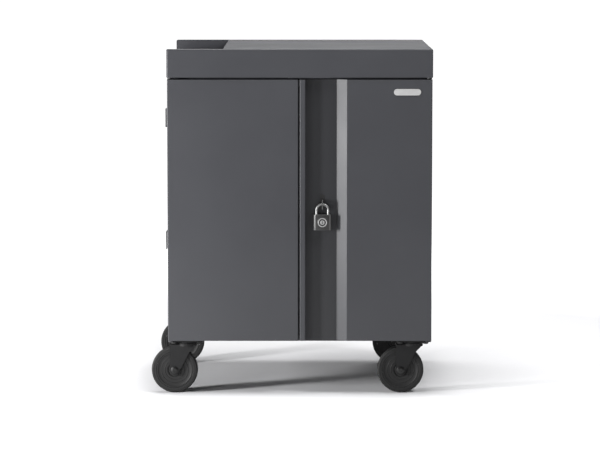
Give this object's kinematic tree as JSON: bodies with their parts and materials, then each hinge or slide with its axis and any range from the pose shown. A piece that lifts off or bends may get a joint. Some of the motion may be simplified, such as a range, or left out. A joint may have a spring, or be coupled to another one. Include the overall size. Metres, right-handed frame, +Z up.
{
  "type": "laptop charging cart",
  "caption": "Sheet-steel cabinet on swivel casters, with padlocked front doors, a sunken top tray, divider racks and a rear power bay, for storing and charging laptops.",
  "frame": {"origin": "on the floor, at the middle of the footprint with the casters trailing left", "axes": "+Z up, the front doors face -Y, +X to the right as seen from the front"},
  "size_m": [0.7854, 0.6705, 0.968],
  "materials": {
    "charcoal_paint": "fine satin powder coat",
    "black_paint": "black powder coat",
    "zinc_steel": "zinc plated",
    "bright_chrome": "polished plating",
    "black_plastic": "moulded, fine grain",
    "grey_plastic": "moulded, fine grain",
    "tyre_rubber": "matt",
    "red_plastic": "gloss"
  },
  "bodies": {
    "cabinet": {"left_side_panel": "charcoal_paint", "right_side_panel": "charcoal_paint", "base_pan": "charcoal_paint", "top_deck": "charcoal_paint", "top_cap": "charcoal_paint", "top_tray": "charcoal_paint", "middle_shelf": "charcoal_paint", "lower_partition": "charcoal_paint", "upper_partition": "charcoal_paint", "lower_divider_rack": "black_plastic", "upper_divider_rack": "black_plastic", "lower_adapter_shelf": "charcoal_paint", "upper_adapter_shelf": "charcoal_paint", "lower_outlet_strip": "grey_plastic", "upper_outlet_strip": "grey_plastic", "power_controller": "black_paint", "power_inlet": "black_plastic", "upper_cord_bracket": "charcoal_paint", "lower_cord_bracket": "charcoal_paint", "left_door_catch": "black_plastic", "right_door_catch": "black_plastic", "left_door_lower_pin": "zinc_steel", "left_door_upper_pin": "zinc_steel", "right_door_lower_pin": "zinc_steel", "right_door_upper_pin": "zinc_steel", "rear_door_lower_pin": "zinc_steel", "rear_door_upper_pin": "zinc_steel", "front_left_caster_mount": "black_paint", "front_right_caster_mount": "black_paint", "rear_left_caster_mount": "black_paint", "rear_right_caster_mount": "black_paint"},
    "left_door": {"left_door": "charcoal_paint", "left_door_bolt_guide": "zinc_steel"},
    "left_door_bolt": {"left_door_bolt": "zinc_steel"},
    "right_door": {"right_door": "charcoal_paint", "lock_bar_upper_guide": "zinc_steel", "lock_bar_lower_guide": "zinc_steel"},
    "lock_bar": {"lock_bar": "zinc_steel"},
    "padlock_shackle": {"padlock_shackle": "bright_chrome"},
    "padlock_body": {"padlock_body": "black_paint"},
    "padlock_cylinder": {"padlock_cylinder": "bright_chrome"},
    "rear_door": {"rear_door": "charcoal_paint"},
    "rear_lock": {"rear_lock": "bright_chrome"},
    "power_switch": {"power_switch": "red_plastic"},
    "front_left_fork": {"front_left_caster_fork": "black_paint", "front_left_axle_bolt": "zinc_steel"},
    "front_left_wheel": {"front_left_wheel_core": "black_plastic", "front_left_tyre": "tyre_rubber"},
    "front_right_fork": {"front_right_caster_fork": "black_paint", "front_right_axle_bolt": "zinc_steel"},
    "front_right_wheel": {"front_right_wheel_core": "black_plastic", "front_right_tyre": "tyre_rubber"},
    "rear_left_fork": {"rear_left_caster_fork": "black_paint", "rear_left_axle_bolt": "zinc_steel"},
    "rear_left_wheel": {"rear_left_wheel_core": "black_plastic", "rear_left_tyre": "tyre_rubber"},
    "rear_right_fork": {"rear_right_caster_fork": "black_paint", "rear_right_axle_bolt": "zinc_steel"},
    "rear_right_wheel": {"rear_right_wheel_core": "black_plastic", "rear_right_tyre": "tyre_rubber"}
  },
  "joints": [
    {"name": "left_door_swing", "type": "hinge", "parent": "cabinet", "child": "left_door", "pos_m": [-0.33575, -0.319, 0.519], "axis": [0, 0, -1], "range_deg": [0, 180]},
    {"name": "right_door_swing", "type": "hinge", "parent": "cabinet", "child": "right_door", "pos_m": [0.38325, -0.319, 0.519], "axis": [0, 0, 1], "range_deg": [0, 180]},
    {"name": "rear_door_swing", "type": "hinge", "parent": "cabinet", "child": "rear_door", "pos_m": [0.38325, 0.319, 0.519], "axis": [0, 0, -1], "range_deg": [0, 180]},
    {"name": "left_bolt_slide", "type": "slide", "parent": "left_door", "child": "left_door_bolt", "axis": [0, 0, 1], "range_m": [0, 0.014]},
    {"name": "lock_bar_slide", "type": "slide", "parent": "right_door", "child": "lock_bar", "axis": [0, 0, 1], "range_m": [0, 0.014]},
    {"name": "padlock_swing", "type": "hinge", "parent": "lock_bar", "child": "padlock_shackle", "pos_m": [0.08675, -0.323, 0.5365], "axis": [-1, 0, 0], "range_deg": [0, 80]},
    {"name": "padlock_release", "type": "slide", "parent": "padlock_shackle", "child": "padlock_body", "axis": [0, 0, -1], "range_m": [0, 0.011]},
    {"name": "padlock_key_turn", "type": "hinge", "parent": "padlock_body", "child": "padlock_cylinder", "pos_m": [0.08675, -0.323, 0.4865], "axis": [0, 1, 0], "range_deg": [0, 90]},
    {"name": "rear_lock_turn", "type": "hinge", "parent": "rear_door", "child": "rear_lock", "pos_m": [-0.30625, 0.314, 0.519], "axis": [0, -1, 0], "range_deg": [0, 90]},
    {"name": "power_switch_rock", "type": "hinge", "parent": "cabinet", "child": "power_switch", "pos_m": [-0.16595, 0.27, 0.1848], "axis": [1, 0, 0], "range_deg": [0, 14]},
    {"name": "front_left_swivel", "type": "hinge", "parent": "cabinet", "child": "front_left_fork", "pos_m": [-0.29375, -0.268, 0.143], "axis": [0, 0, 1], "continuous": true},
    {"name": "front_left_roll", "type": "hinge", "parent": "front_left_fork", "child": "front_left_wheel", "pos_m": [-0.32775, -0.268, 0.065], "axis": [0, 1, 0], "continuous": true},
    {"name": "front_right_swivel", "type": "hinge", "parent": "cabinet", "child": "front_right_fork", "pos_m": [0.34125, -0.268, 0.143], "axis": [0, 0, 1], "continuous": true},
    {"name": "front_right_roll", "type": "hinge", "parent": "front_right_fork", "child": "front_right_wheel", "pos_m": [0.30725, -0.268, 0.065], "axis": [0, 1, 0], "continuous": true},
    {"name": "rear_left_swivel", "type": "hinge", "parent": "cabinet", "child": "rear_left_fork", "pos_m": [-0.29375, 0.268, 0.143], "axis": [0, 0, 1], "continuous": true},
    {"name": "rear_left_roll", "type": "hinge", "parent": "rear_left_fork", "child": "rear_left_wheel", "pos_m": [-0.32775, 0.268, 0.065], "axis": [0, 1, 0], "continuous": true},
    {"name": "rear_right_swivel", "type": "hinge", "parent": "cabinet", "child": "rear_right_fork", "pos_m": [0.34125, 0.268, 0.143], "axis": [0, 0, 1], "continuous": true},
    {"name": "rear_right_roll", "type": "hinge", "parent": "rear_right_fork", "child": "rear_right_wheel", "pos_m": [0.30725, 0.268, 0.065], "axis": [0, 1, 0], "continuous": true}
  ]
}
